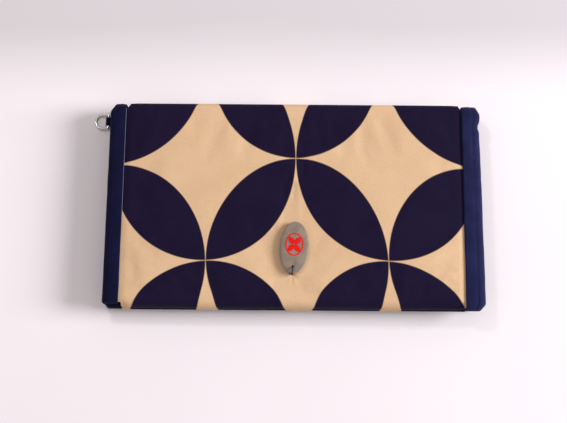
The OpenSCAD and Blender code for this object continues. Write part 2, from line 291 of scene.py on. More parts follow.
def buildCircles():
    # overlapping circles: petals where two neighbouring circles cross, four-pointed stars between
    group, source, result = newGroup(
        "circlePetals",
        [("Vector", "NodeSocketVector", None), ("Half Width", "NodeSocketFloat", 0.048),
         ("Half Height", "NodeSocketFloat", 0.055), ("Centre X", "NodeSocketFloat", 0.0),
         ("Centre Y", "NodeSocketFloat", 0.0), ("Gap", "NodeSocketFloat", 0.01),
         ("Softness", "NodeSocketFloat", 0.006)],
        [("Petal", "NodeSocketFloat"), ("Edge", "NodeSocketFloat")])
    parts = addNode(group, "ShaderNodeSeparateXYZ", {0: source.outputs["Vector"]})
    u = calc(group, "DIVIDE", calc(group, "SUBTRACT", parts.outputs[0], source.outputs["Centre X"]),
             source.outputs["Half Width"])
    v = calc(group, "DIVIDE", calc(group, "SUBTRACT", parts.outputs[1], source.outputs["Centre Y"]),
             source.outputs["Half Height"])
    folded = []
    for turned in (calc(group, "ADD", u, v), calc(group, "SUBTRACT", u, v)):
        cell = calc(group, "FRACT", calc(group, "MULTIPLY", turned, 0.5))
        folded.append(calc(group, "ABSOLUTE", calc(group, "SUBTRACT", cell, 0.5)))
    far = calc(group, "MAXIMUM", folded[0], folded[1])
    near = calc(group, "MINIMUM", folded[0], folded[1])
    nearSquare = calc(group, "MULTIPLY", near, near)
    own = calc(group, "SQRT", calc(group, "MULTIPLY_ADD", far, far, nearSquare))
    across = calc(group, "SUBTRACT", 1.0, far)
    other = calc(group, "SQRT", calc(group, "MULTIPLY_ADD", across, across, nearSquare))
    reach = calc(group, "MULTIPLY", calc(group, "MAXIMUM", own, other), math.sqrt(2))
    inside = calc(group, "SUBTRACT", calc(group, "SUBTRACT", 1.0, source.outputs["Gap"]), reach)
    petal = calc(group, "MULTIPLY_ADD", calc(group, "DIVIDE", inside, source.outputs["Softness"]), 0.5, 0.5,
                 clamp=True)
    line = calc(group, "SUBTRACT", 1.0,
                calc(group, "DIVIDE", calc(group, "ABSOLUTE", inside),
                     calc(group, "MULTIPLY", source.outputs["Softness"], 1.6)), clamp=True)
    group.links.new(petal, result.inputs["Petal"])
    group.links.new(line, result.inputs["Edge"])
    return group


def buildHandling():
    # slow colour drift, fine lint and small specks, for anything that has been carried about
    group, source, result = newGroup(
        "handling",
        [("Vector", "NodeSocketVector", None), ("Drift Scale", "NodeSocketFloat", 30.0),
         ("Speck Scale", "NodeSocketFloat", 900.0), ("Speck Size", "NodeSocketFloat", 0.12)],
        [("Drift", "NodeSocketFloat"), ("Specks", "NodeSocketFloat"), ("Grain", "NodeSocketFloat")])
    drift = noiseValue(group, source.outputs["Vector"], source.outputs["Drift Scale"], 5.0, 0.6)
    specks = addNode(group, "ShaderNodeTexVoronoi",
                     {"Vector": source.outputs["Vector"], "Scale": source.outputs["Speck Scale"]})
    thin = noiseValue(group, source.outputs["Vector"], 160.0, 2.0)
    dot = calc(group, "LESS_THAN", specks.outputs["Distance"], source.outputs["Speck Size"])
    keep = calc(group, "GREATER_THAN", thin, 0.6)
    grain = noiseValue(group, source.outputs["Vector"], 1800.0, 4.0)
    group.links.new(drift, result.inputs["Drift"])
    group.links.new(calc(group, "MULTIPLY", dot, keep), result.inputs["Specks"])
    group.links.new(grain, result.inputs["Grain"])
    return group


def buildMetalGrain():
    # fine drawn lines, small dents and rubbed patches
    group, source, result = newGroup(
        "metalGrain",
        [("Vector", "NodeSocketVector", None), ("Lines", "NodeSocketFloat", 900.0),
         ("Patches", "NodeSocketFloat", 220.0)],
        [("Height", "NodeSocketFloat"), ("Rubbed", "NodeSocketFloat")])
    stretched = drawnOut(group, source.outputs["Vector"], 0.12)
    lines = noiseValue(group, stretched, source.outputs["Lines"], 4.0)
    patches = noiseValue(group, source.outputs["Vector"], source.outputs["Patches"], 3.0)
    group.links.new(lines, result.inputs["Height"])
    group.links.new(remap(group, patches, 0.4, 0.7), result.inputs["Rubbed"])
    return group


weaveGroup = buildWeave()
circlesGroup = buildCircles()
handlingGroup = buildHandling()
metalGroup = buildMetalGrain()
print("shader groups built")


# ---- materials

def flatCoords(tree):
    return addNode(tree, "ShaderNodeUVMap", uv_map="flat").outputs[0]


def objectCoords(tree):
    return addNode(tree, "ShaderNodeTexCoord").outputs["Object"]


def handledMarks(tree, vector, driftScale, speckScale, speckSize):
    inputs = {"Vector": vector, "Drift Scale": driftScale, "Speck Scale": speckScale, "Speck Size": speckSize}
    return useGroup(tree, handlingGroup, inputs).outputs


def bumpInto(tree, shader, height, distance, strength=1.0):
    bump = addNode(tree, "ShaderNodeBump", {"Height": height, "Distance": distance, "Strength": strength})
    tree.links.new(bump.outputs[0], shader.inputs["Normal"])


printLook = {
    "halfWidth": 47.1 * mm,
    "halfHeight": 54.85 * mm,
    "centre": (1.25 * mm, 23.35 * mm),
    "gap": 0.004,
    "cream": rgb(216, 181, 144),
    "creamDeep": rgb(203, 165, 128),
    "navy": rgb(22, 14, 41),
    "navyFaded": rgb(30, 21, 49),
    "outline": rgb(40, 14, 26),
}


def printMaterial():
    look = printLook
    material, tree, shader = newMaterial("printedCotton", roughness=0.82, Sheen_Weight=0.02,
                                         Sheen_Roughness=0.5, Specular_IOR_Level=0.07)
    flat = flatCoords(tree)
    circles = useGroup(tree, circlesGroup, {
        "Vector": flat, "Half Width": look["halfWidth"], "Half Height": look["halfHeight"],
        "Centre X": look["centre"][0], "Centre Y": look["centre"][1], "Gap": look["gap"],
        "Softness": 0.004})
    weave = useGroup(tree, weaveGroup, {"Vector": flat, "Threads": 2400.0, "Unevenness": 0.5})
    carried = handledMarks(tree, flat, 45.0, 800.0, 0.16)
    drift = remap(tree, carried["Drift"], 0.35, 0.65)
    ground = towards(tree, look["cream"], drift, 0.35, look["creamDeep"])
    petals = towards(tree, look["navy"], drift, 0.4, look["navyFaded"])
    colour = mixColour(tree, circles.outputs["Petal"], ground, petals)
    colour = towards(tree, colour, circles.outputs["Edge"], 0.45, look["outline"])
    colour = towards(tree, colour, carried["Specks"], 0.1, rgb(120, 92, 76))
    # painted shade in the gaps between threads, with the threads' uneven tone
    colour = mixColour(tree, 1.0, colour, weave.outputs["Painted Gap Shade And Thread Tone"], "MULTIPLY")
    tree.links.new(colour, shader.inputs["Base Color"])
    height = calc(tree, "MULTIPLY_ADD", carried["Grain"], 0.5, weave.outputs["Height"])
    bumpInto(tree, shader, height, 0.00006, 0.7)
    return material


def clothMaterial(name, colour, faded, threads, roughness, bump=0.00008, sheen=0.06):
    material, tree, shader = newMaterial(name, roughness=roughness, Sheen_Weight=sheen, Sheen_Roughness=0.45,
                                         Specular_IOR_Level=0.08)
    flat = flatCoords(tree)
    weave = useGroup(tree, weaveGroup, {"Vector": flat, "Threads": threads, "Unevenness": 0.6})
    carried = handledMarks(tree, flat, 60.0, 1100.0, 0.1)
    drift = remap(tree, carried["Drift"], 0.35, 0.7)
    base = mixColour(tree, drift, colour, faded)
    base = towards(tree, base, carried["Specks"], 0.12, rgb(120, 118, 130))
    # painted shade in the gaps between threads, with the threads' uneven tone
    base = mixColour(tree, 1.0, base, weave.outputs["Painted Gap Shade And Thread Tone"], "MULTIPLY")
    tree.links.new(base, shader.inputs["Base Color"])
    bumpInto(tree, shader, weave.outputs["Height"], bump, 0.8)
    return material


def metalMaterial(name, colour, dull, roughness, rubbedRoughness):
    material, tree, shader = newMaterial(name, metallic=1.0)
    coords = objectCoords(tree)
    grain = useGroup(tree, metalGroup, {"Vector": coords})
    base = mixColour(tree, grain.outputs["Rubbed"], dull, colour)
    tree.links.new(base, shader.inputs["Base Color"])
    tree.links.new(remap(tree, grain.outputs["Rubbed"], 0.0, 1.0, roughness, rubbedRoughness),
                   shader.inputs["Roughness"])
    bumpInto(tree, shader, grain.outputs["Height"], 0.00003, 0.5)
    return material


def tagMaterial():
    # dull shell-like brown with slow mottling and short pale streaks
    material, tree, shader = newMaterial("tagShell", roughness=0.5, Specular_IOR_Level=0.4)
    coords = objectCoords(tree)
    carried = handledMarks(tree, coords, 240.0, 2600.0, 0.2)
    streaks = noiseValue(tree, drawnOut(tree, coords, 0.25), 1400.0, 4.0)
    mottle = remap(tree, carried["Drift"], 0.35, 0.65)
    base = mixColour(tree, mottle, rgb(124, 109, 95), rgb(138, 122, 107))
    base = mixColour(tree, remap(tree, streaks, 0.5, 0.72, 0.0, 0.2), base, rgb(158, 141, 124))
    base = towards(tree, base, carried["Specks"], 0.3, rgb(98, 84, 72))
    tree.links.new(base, shader.inputs["Base Color"])
    tree.links.new(remap(tree, carried["Drift"], 0.3, 0.7, 0.42, 0.6), shader.inputs["Roughness"])
    bumpInto(tree, shader, streaks, 0.00004, 0.5)
    return material


def paintMaterial():
    material, tree, shader = newMaterial("tagPaint", roughness=0.5, Specular_IOR_Level=0.15)
    carried = handledMarks(tree, objectCoords(tree), 700.0, 3400.0, 0.22)
    base = mixColour(tree, remap(tree, carried["Drift"], 0.3, 0.7), rgb(226, 22, 14), rgb(204, 16, 12))
    base = towards(tree, base, carried["Specks"], 0.5, rgb(140, 60, 46))
    tree.links.new(base, shader.inputs["Base Color"])
    bumpInto(tree, shader, carried["Grain"], 0.00003, 0.5)
    return material


def threadMaterial(name, colour, faded):
    # fibres run round the thread in fine slanted lines
    material, tree, shader = newMaterial(name, roughness=0.7, Sheen_Weight=0.2)
    fibres = noiseValue(tree, drawnOut(tree, flatCoords(tree), 0.2), 9000.0, 3.0)
    tree.links.new(mixColour(tree, fibres, colour, faded), shader.inputs["Base Color"])
    bumpInto(tree, shader, fibres, 0.00004, 0.8)
    return material


printedCotton = printMaterial()
navyBinding = clothMaterial("navyBinding", rgb(10, 11, 41), rgb(16, 17, 53), 2300.0, 0.8, sheen=0.03)
# a paler copy of the binding cloth: painted light for the front right strip, which faces the lamp
paintedLitBinding = clothMaterial("paintedLitBinding", rgb(24, 26, 63), rgb(35, 37, 77), 2300.0, 0.8, sheen=0.06)
navyLining = clothMaterial("navyLining", rgb(35, 35, 74), rgb(41, 41, 81), 2900.0, 0.7, 0.00005)
zipTapeCloth = clothMaterial("zipTapeCloth", rgb(22, 22, 48), rgb(34, 34, 62), 1700.0, 0.8, 0.00010)
steelBright = metalMaterial("steelBright", (0.86, 0.85, 0.83, 1), (0.62, 0.61, 0.59, 1), 0.26, 0.13)
zipMetal = metalMaterial("zipMetal", (0.62, 0.55, 0.40, 1), (0.42, 0.36, 0.25, 1), 0.42, 0.26)
magnetDark = metalMaterial("magnetDark", (0.09, 0.09, 0.095, 1), (0.05, 0.05, 0.052, 1), 0.6, 0.5)
tagShell = tagMaterial()
tagPaint = paintMaterial()
blackThread = threadMaterial("blackThread", rgb(9, 9, 11), rgb(26, 24, 26))
navyThread = threadMaterial("navyThread", rgb(24, 25, 54), rgb(52, 53, 88))
paleThread = threadMaterial("paleThread", rgb(84, 84, 116), rgb(120, 120, 150))
for node in nodes.values():
    node.data.materials.clear()
print("materials built")


# ---- covers: printed cloth over padding

coverShape = {
    "flatThickness": 2.75 * mm,   # cloth and padding, down to the lining
    "foldThickness": 0.9 * mm,
    "lipLength": frontBox[1].z - frontBox[0].z,
    "sideDrop": 0.6 * mm,         # the padding thins towards the bindings
    "sideWidth": 5 * mm,
    "undulation": 0.08 * mm,
    "puff": 0.45 * mm,
    "notch": {-1: 2.6 * mm, 1: 1.9 * mm},   # the print draws in at the ends of the fold
    "hemNotch": 1.8 * mm,         # and at the left end of the hem
    "step": 1.1 * mm,
}
tagLoop = {"centre": Vector((-0.5 * mm, -37.2 * mm, 17.6 * mm)), "turn": math.radians(-4), "radius": 2.1 * mm}
puckerPoint = (tagLoop["centre"].x, tagLoop["centre"].y - 1.7 * mm)


def arcPoints(cy, cz, radius, start, end, step):
    count = max(2, int(abs(math.radians(end - start)) * radius / step) + 1)
    angles = [math.radians(start + (end - start) * i / count) for i in range(count + 1)]
    return [(cy + radius * math.cos(a), cz + radius * math.sin(a)) for a in angles]


def joinPath(*runs):
    # runs of (y, z) points; the same point twice in a row is kept once
    path = []
    for run in runs:
        for point in run:
            if not path or math.dist(path[-1], point) > 1e-7:
                path.append(point)
    return path


def lineRun(start, end, step):
    count = max(1, int(math.dist(start, end) / step))
    return [(start[0] + (end[0] - start[0]) * i / count, start[1] + (end[1] - start[1]) * i / count)
            for i in range(count + 1)]


def pathFrames(path, outside):
    # outward normal and running length at each point
    frames, length = [], 0.0
    for i, point in enumerate(path):
        before, after = path[max(i - 1, 0)], path[min(i + 1, len(path) - 1)]
        dy, dz = after[0] - before[0], after[1] - before[1]
        size = math.hypot(dy, dz)
        if i:
            length += math.dist(path[i - 1], point)
        frames.append({"y": point[0], "z": point[1], "ny": -dz / size * outside, "nz": dy / size * outside,
                       "length": length})
    return frames


def frontOutline(step):
    w, r = wallet, wallet["foldRadius"]
    lipEnd = w["top"] - coverShape["lipLength"]
    fine = (puckerPoint[1] - 9 * mm, puckerPoint[1] + 7 * mm)
    return joinPath(
        lineRun((hemEdge, lipEnd), (hemEdge, w["top"] - r), step / 2),
        arcPoints(hemEdge + r, w["top"] - r, r, 180, 90, step / 2),
        lineRun((hemEdge + r, w["top"]), (fine[0], w["top"]), step / 2),
        lineRun((fine[0], w["top"]), (fine[1], w["top"]), step / 3),
        lineRun((fine[1], w["top"]), (foldStart, w["top"]), step),
        arcPoints(foldStart, w["top"] - r, r, 90, 0, step / 3),
        lineRun((w["fold"], w["top"] - r), (w["fold"], midSpine), step / 2))


def rearOutline(step):
    w, r = wallet, wallet["foldRadius"]
    edge = rearBox[0].y
    roll = rearBox[1].z - 0.3 * mm
    return joinPath(
        arcPoints(edge + roll, roll, roll, 180, 270, step / 2),
        lineRun((edge + roll, 0), (foldStart, 0), step),
        arcPoints(foldStart, r, r, 270, 360, step / 3),
        lineRun((w["fold"], r), (w["fold"], midSpine), step / 2))


# how far the print runs off square, in mm, for powers of x / 90 mm and y / 55 mm; these numbers were
# fitted by a separate program, not chosen by hand, and so was the size and centre in printLook
printPull = {
    "x": [(0.73, 0, 1), (-0.7, 0, 2), (0.9, 1, 1), (0.37, 2, 0), (0.34, 0, 3), (0.54, 2, 1), (-2.0, 3, 0)],
    "y": [(-1.1, 1, 0), (-2.9, 0, 2), (3.9, 2, 0), (0.6, 0, 3), (0.66, 1, 2), (-0.55, 2, 1), (1.24, 3, 0)],
}


def printPlace(x, v):
    # where a point of the cloth lies in the printed pattern; it is drawn up a little over the hem
    hemStart, hemReach = -46 * mm, 11.5 * mm
    if v < hemStart:
        v = hemStart - hemReach * (1 - math.exp((v - hemStart) / hemReach))
    px, py = x / (90 * mm), max(-1.0, v / (55 * mm))
    topStart, topReach = 0.75, 0.22
    if py > topStart:
        py = topStart + topReach * (1 - math.exp(-(py - topStart) / topReach))
    pulled = [sum(size * px ** i * py ** j for size, i, j in printPull[axis]) * mm for axis in ("x", "y")]
    eased = 1.9 * mm * float(smoothStep(42 * mm, 62 * mm, v))
    # the outer petals run right into the top corners
    corner = 2.6 * mm * float(smoothStep(76 * mm, 87 * mm, abs(x)) * smoothStep(46 * mm, 54 * mm, v))
    return x + pulled[0] - math.copysign(corner, x), v + pulled[1] - eased


def coverShell(name, outline, front):
    shape, w = coverShape, wallet
    side = 1 if front else -1
    stations = pathFrames(outline, side)
    flatAt = next(s["length"] for s in stations if abs(s["z"] - (w["top"] if front else 0)) < 1e-7)
    # closer columns near the side seams and round the thread
    across, x = [], 0.0
    while x < w["cloth"]:
        across.append(x / w["cloth"])
        x += 0.4 * mm if x < 10 * mm or x > w["cloth"] - 4 * mm else shape["step"]
    across = [-1.0] + [-a for a in reversed(across)] + across[1:] + [1.0]
    columns = len(across)
    outer, inner, flat = [], [], []
    for s in stations:
        inFold = smoothStep(foldStart - 0.6 * mm, w["fold"] - 1.0 * mm, s["y"])
        pastHem = smoothStep(hemEdge + 1.8 * mm, hemEdge + 2.8 * mm, s["y"])
        hemNotch = shape["hemNotch"] * (1 - pastHem) if front else 0
        startTaper = math.sqrt(max(0.0, 1 - max(0.0, 1 - s["length"] / (1.3 * mm)) ** 2))
        thinner = smoothStep(foldStart - 4 * mm, foldStart + 1 * mm, s["y"])
        thick = shape["flatThickness"] + (shape["foldThickness"] - shape["flatThickness"]) * thinner
        v = (hemEdge + w["foldRadius"] if front else rearBox[0].y) + s["length"] - flatAt
        if not front:
            # the rear carries the pattern on from the middle of the spine
            spineMiddle = foldStart + math.pi / 2 * w["foldRadius"] + w["top"] / 2 - w["foldRadius"]
            v = 2 * spineMiddle - v - 2.4 * mm
        for a in across:
            end = 1 if a > 0 else -1
            reach = sideEdge(end, "seam", s["y"]) + 0.4 * mm - shape["notch"][end] * inFold
            reach -= hemNotch if a < 0 else 0
            x = a * reach
            edge = reach - abs(x)
            sink = shape["sideDrop"] * (1 - smoothStep(0, shape["sideWidth"], edge)) ** 1.5
            sink *= 1 - 0.7 * inFold
            rise = puffAt(x, s["y"], front) * (1 - 0.7 * inFold)
            rise += shape["undulation"] * softNoise(x, v, 26 * mm, 1 if front else 4) * (1 - 0.6 * inFold)
            if front:
                rise += pucker(x, v)
            offset = rise - sink
            outer.append((x, s["y"] + s["ny"] * offset, s["z"] + s["nz"] * offset))
            depth = max(thick - sink * 0.6, 0.4 * mm) * max(startTaper, 0.02)
            inner.append((x, s["y"] - s["ny"] * depth, s["z"] - s["nz"] * depth))
            flat.append(printPlace(x, v))
    return makeObject(name, outer + inner, slabFaces(len(stations), columns, front), flat + flat, 60)


# creases that run out from the point where the thread goes through: angle, length, height
creases = [(178, 9.0, 0.46), (6, 8.0, 0.42), (205, 5.0, 0.16), (336, 5.5, 0.18), (250, 6.5, 0.12),
           (287, 7.5, 0.15), (140, 3.5, 0.1), (42, 3.5, 0.1)]


def pucker(x, y):
    dx, dy = x - puckerPoint[0], y - puckerPoint[1]
    away = math.hypot(dx, dy)
    if away > 14 * mm:
        return 0.0
    rise = -0.42 * mm * math.exp(-(away / (1.6 * mm)) ** 2)
    for angle, length, height in creases:
        a = math.radians(angle)
        along = dx * math.cos(a) + dy * math.sin(a)
        beside = -dx * math.sin(a) + dy * math.cos(a) + 0.25 * mm * math.sin(along / (2.1 * mm) + angle)
        if along > 0:
            width = 0.45 * mm + along * 0.10
            fade = math.exp(-(along / (length * mm * 0.6)) ** 2) * min(1.0, along / (1.0 * mm))
            rise += 1.7 * height * mm * fade * (math.exp(-(beside / width) ** 2)
                                          - 0.5 * math.exp(-((beside + 1.5 * width) / width) ** 2))
    return rise


# ---- padding puffed up by a cloth simulation, on a coarse pillow pinned at its seams

pillow = {"columns": 73, "rows": 45, "pressure": 4.0, "frames": 20, "stretch": -0.012}


def puffPillow(name, seed):
    columns, rows = pillow["columns"], pillow["rows"]
    halfX, low, high = wallet["cloth"], hemEdge, wallet["fold"]
    rng = np.random.default_rng(seed)
    field = np.zeros((rows, columns))
    points = []
    for level in (0.0, -3 * mm):
        for r in range(rows):
            for c in range(columns):
                points.append((-halfX + 2 * halfX * c / (columns - 1), low + (high - low) * r / (rows - 1),
                               level + (rng.normal() * 0.02 * mm if level == 0 else 0)))
    count = rows * columns
    cushion = makeObject(name, points, slabFaces(rows, columns))
    pins = cushion.vertex_groups.new(name="pins")
    pins.add(rimLoop(rows, columns) + list(range(count, 2 * count)), 1.0, "REPLACE")
    # the thread of the tag ties the top down as well
    tied = [i for i in range(count) if math.dist(points[i][:2], puckerPoint) < 2.5 * mm] if seed == 1 else []
    pins.add(tied, 1.0, "REPLACE")
    cloth = cushion.modifiers.new("cloth", "CLOTH")
    cloth.settings.vertex_group_mass = "pins"
    cloth.settings.use_pressure = True
    cloth.settings.uniform_pressure_force = pillow["pressure"]
    cloth.settings.shrink_min = pillow["stretch"]
    cloth.settings.tension_stiffness = 30
    cloth.settings.compression_stiffness = 30
    cloth.settings.bending_stiffness = 0.6
    cloth.settings.effector_weights.gravity = 0
    cloth.point_cache.frame_start, cloth.point_cache.frame_end = 1, pillow["frames"]
    scene = bpy.context.scene
    for frameNumber in range(1, pillow["frames"] + 1):
        scene.frame_set(frameNumber)
    done = cushion.evaluated_get(bpy.context.evaluated_depsgraph_get()).to_mesh()
    heights = np.zeros(len(done.vertices) * 3)
    done.vertices.foreach_get("co", heights)
    field = heights.reshape(-1, 3)[:count, 2].reshape(rows, columns)
    scene.frame_set(1)
    bpy.data.objects.remove(cushion)
    print(name, "rose by", round(float(field.max() / mm), 2), "mm, mean", round(float(field.mean() / mm), 2))
    return field


def settled(field):
    # capped movement: the broad crown pressed flat, the small folds kept
    broad = field.copy()
    for _ in range(60):
        edged = np.pad(broad, 1, mode="edge")
        broad = (edged[:-2, 1:-1] + edged[2:, 1:-1] + edged[1:-1, :-2] + edged[1:-1, 2:]) / 4
    size = max(float(broad.max()), 1e-6)
    folds = np.clip(field - broad, -0.5 * mm, 0.5 * mm)
    return np.clip(coverShape["puff"] * (broad / size - 0.75) + folds * 0.6, -0.6 * mm, 0.4 * mm)


puffs = {True: settled(puffPillow("front_pillow", 1)), False: settled(puffPillow("rear_pillow", 2))}


def puffAt(x, y, front):
    field = puffs[front]
    c = (x / wallet["cloth"] + 1) / 2 * (field.shape[1] - 1)
    r = (y - hemEdge) / (wallet["fold"] - hemEdge) * (field.shape[0] - 1)
    c, r = min(max(c, 0), field.shape[1] - 1.001), min(max(r, 0), field.shape[0] - 1.001)
    i, j, fc, fr = int(c), int(r), c - int(c), r - int(r)
    return float((field[j, i] * (1 - fc) + field[j, i + 1] * fc) * (1 - fr)
                 + (field[j + 1, i] * (1 - fc) + field[j + 1, i + 1] * fc) * fr)


frontShell = coverShell("front_cover_shell", frontOutline(coverShape["step"]), True)
finishPiece(frontShell, None, printedCotton,
            ("front_cover_fabric", "front_padding", "spine_fabric", "spine_padding"), frontBend)
rearShell = coverShell("rear_cover_shell", rearOutline(coverShape["step"]), False)
finishPiece(rearShell, None, printedCotton, ("rear_cover_fabric", "rear_padding"), rearBend)
print("covers built")


# ---- side bindings: folded bias strips, soft and rounded

bindingShape = {
    "cloth": 0.7 * mm,
    "step": 1.0 * mm,
    "foldDepth": 4.0 * mm,     # depth of the channel where it goes round the fold
    "foldInset": {-1: 0.7 * mm, 1: 1.0 * mm},   # its fold stands a little lower than the print's
    "foldCorner": {-1: 1.7 * mm, 1: 0.9 * mm},
    "end": {(-1, True): -54.6 * mm, (1, True): -56.9 * mm, (-1, False): -55.4 * mm, (1, False): -54.4 * mm},
    # a long crease in the top of the strip
    "crease": {(-1, True): -0.06 * mm, (1, True): 0.2 * mm, (-1, False): -0.06 * mm, (1, False): 0.0},
    "corner": {(-1, True): 1.0 * mm, (1, True): 3.2 * mm, (-1, False): 2.6 * mm, (1, False): 2.0 * mm},
}


def bindingOutline(front, side, step):
    w, r, inset = wallet, wallet["foldRadius"], bindingShape["foldInset"][side]
    level = w["top"] if front else 0
    toCentre = -1 if front else 1
    fold = w["fold"] - inset
    start = foldStart - inset
    angles = (90, 0) if front else (270, 360)
    return joinPath(
        lineRun((bindingShape["end"][side, front], level), (start, level), step),
        arcPoints(start, level + toCentre * r, r, angles[0], angles[1], step / 3),
        lineRun((fold, level + toCentre * r), (fold, midSpine), step / 2))


def channelSection(depth, width, cloth, crease):
    # outer loop then inner loop of the folded strip, as (distance in from the side, depth)
    r = min(3.0 * mm, depth * 0.48)
    lip = [(width - 0.9 * mm, 0.06 * mm), (width - 0.45 * mm, 0.10 * mm), (width - 0.12 * mm, 0.32 * mm),
           (width, 0.62 * mm)]
    outerLine = list(reversed(lip))
    outerLine += [(width * 0.78, -0.12 * mm), (width * 0.6, -0.2 * mm), (width * 0.45, -0.12 * mm),
                  (width * 0.4, crease), (width * 0.35, -0.1 * mm)]
    quarter = [math.radians(a) for a in range(0, 91, 15)]
    outerLine += [(r - r * math.sin(a), r - r * math.cos(a)) for a in quarter]
    outerLine += [(r - r * math.cos(a), depth - r + r * math.sin(a)) for a in quarter]
    outerLine += [(width * share, depth) for share in (0.45, 0.6, 0.78)]
    outerLine += [(x, depth - d) for x, d in lip]
    innerLine = []
    for i, (x, d) in enumerate(outerLine):
        a, b = outerLine[max(i - 1, 0)], outerLine[min(i + 1, len(outerLine) - 1)]
        dx, dd = b[0] - a[0], b[1] - a[1]
        size = math.hypot(dx, dd)
        innerLine.append((x + dd / size * cloth, d - dx / size * cloth))
    return outerLine, innerLine


def pleat(y, side, front):
    # the right strip is bunched below its top corner: out, then in, then out again
    if side < 0 or not front:
        return 0.0
    return (0.9 * mm * math.exp(-((y - 42.6 * mm) / (1.9 * mm)) ** 2)
            - 0.35 * mm * math.exp(-((y - 48 * mm) / (3 * mm)) ** 2))


def sideBinding(name, side, front):
    shape = bindingShape
    box = (frontBindBox if front else rearBindBox)[side]
    stations = pathFrames(bindingOutline(front, side, shape["step"]), 1 if front else -1)
    fullDepth = box[1].z - box[0].z
    seed = 11 + side + (4 if front else 0)
    endCorner = shape["corner"][side, front]
    points, flat, sectionSize = [], [], 0
    for s in stations:
        turn = smoothStep(foldStart - 9 * mm, foldStart - 1 * mm, s["y"])
        depth = fullDepth + (shape["foldDepth"] - fullDepth) * turn
        outside = sideEdge(side, "outer", s["y"]) if front else wallet["half"] - 0.6 * mm
        width = outside - sideEdge(side, "seam", s["y"])
        crease = shape["crease"][side, front] * (0.5 + 0.8 * softNoise(s["length"], 0.0, 21 * mm, 71))
        if side < 0 and not front:
            width += 1.8 * mm * (1 - smoothStep(1.5 * mm, 5 * mm, s["length"]))
        outerLine, innerLine = channelSection(depth, width, shape["cloth"], crease)
        # the bottom end is tucked in and rounded off
        close = math.sqrt(max(0.0, 1 - max(0.0, 1 - s["length"] / (2.0 * mm)) ** 2)) * 0.86 + 0.14
        corner = endCorner * max(0.0, 1 - s["length"] / (endCorner * 1.1)) ** 1.1
        atFold = smoothStep(foldStart - 1.5 * mm, wallet["fold"] - 1.4 * mm, s["y"])
        corner += shape["foldCorner"][side] * atFold
        sectionSize = len(outerLine) * 2
        around = 0.0
        last = None
        for line in (outerLine, list(reversed(innerLine))):
            for across, d in line:
                if last is not None:
                    around += math.dist(last, (across, d))
                last = (across, d)
                d = depth / 2 + (d - depth / 2) * close
                wobble = 0.16 * mm * softNoise(s["length"], around * 0.5, 7 * mm, seed)
                wobble += 0.16 * mm * softNoise(s["length"], 0.0, 24 * mm, seed + 3)
                seamWave = 0.14 * mm * softNoise(s["length"], 3 * mm, 9 * mm, seed + 6)
                nearOut = 1 - across / width
                across += (corner + pleat(s["y"], side, front)) * nearOut + wobble * 0.8 * nearOut + seamWave
                d += wobble * 0.7 if d > depth / 2 else -wobble * 0.7
                x = side * (outside - across)
                points.append((x, s["y"] - s["ny"] * d, s["z"] - s["nz"] * d))
                flat.append((s["length"], around))
    rows = len(stations)
    out = (side > 0) == front
    faces = gridFaces(rows, sectionSize, wrapColumns=True, flip=out)
    first = list(range(sectionSize))
    last = [(rows - 1) * sectionSize + i for i in range(sectionSize)]
    for ring, turned in ((first, out), (last, not out)):
        for i in range(sectionSize // 2 - 1):
            quad = (ring[i], ring[i + 1], ring[sectionSize - 2 - i], ring[sectionSize - 1 - i])
            faces.append(quad if turned else tuple(reversed(quad)))
    return makeObject(name, points, faces, flat, 50)


for side, label in ((-1, "left"), (1, "right")):
    strip = sideBinding("front_binding_cloth_" + label, side, True)
    # the strip on the right gets a paler navy: painted light, for the side that faces the lamp
    finishPiece(strip, None, paintedLitBinding if side > 0 else navyBinding,
                ("front_binding_" + label, "spine_binding_" + label), frontBend)
    strip = sideBinding("rear_binding_cloth_" + label, side, False)
    finishPiece(strip, None, navyBinding, ("rear_binding_" + label,), rearBend)


# ---- stitching

def addTube(parts, line, radius, sides, closed=False, drawnIn=1.0):
    # line is a list of (point, across, up); parts collects points, faces and flat places
    points, faces, flat = parts
    first, length, ends = len(points), 0.0, (0, len(line) - 1)
    for i, (point, across, up) in enumerate(line):
        if i:
            length += (point - line[i - 1][0]).length
        size = radius * (drawnIn if i in ends else 1.0)
        for k in range(sides):
            a = 2 * math.pi * k / sides
            points.append(point + across * size * math.cos(a) + up * size * math.sin(a))
            flat.append((radius * a, length))
    faces += gridFaces(len(line), sides, wrapRows=closed, wrapColumns=True, first=first)
    if not closed:
        faces.append(tuple(first + k for k in range(sides - 1, -1, -1)))
        faces.append(tuple(first + ends[1] * sides + k for k in range(sides)))


def runTube(name, runs, radius):
    # each run is a list of points; a round thread follows it, drawn in at both ends
    parts = ([], [], [])
    for run in runs:
        line = []
        for i, point in enumerate(run):
            before, after = run[max(i - 1, 0)], run[min(i + 1, len(run) - 1)]
            ahead = (Vector(after) - Vector(before)).normalized()
            side = ahead.cross(Vector((0.1, 0.2, 1))).normalized()
            line.append((Vector(point), side, side.cross(ahead)))
        addTube(parts, line, radius, 6, drawnIn=0.35)
    return makeObject(name, *parts, 60)


def stitchRuns(start, end, stitch=2.4 * mm, gap=0.7 * mm, lift=0.14 * mm, sag=0.3 * mm):
    # arched stitches from start to end, their ends sunk into the cloth
    start, end = Vector(start), Vector(end)
    total = (end - start).length
    ahead = (end - start) / total
    runs, at = [], 0.0
    while at + stitch < total:
        run = []
        for i in range(7):
            t = i / 6
            rise = (lift + sag) * math.sin(math.pi * t) ** 0.6 - sag
            run.append(tuple(start + ahead * (at + stitch * t) + Vector((0, 0, rise))))
        runs.append(run)
        at += stitch + gap
    return runs


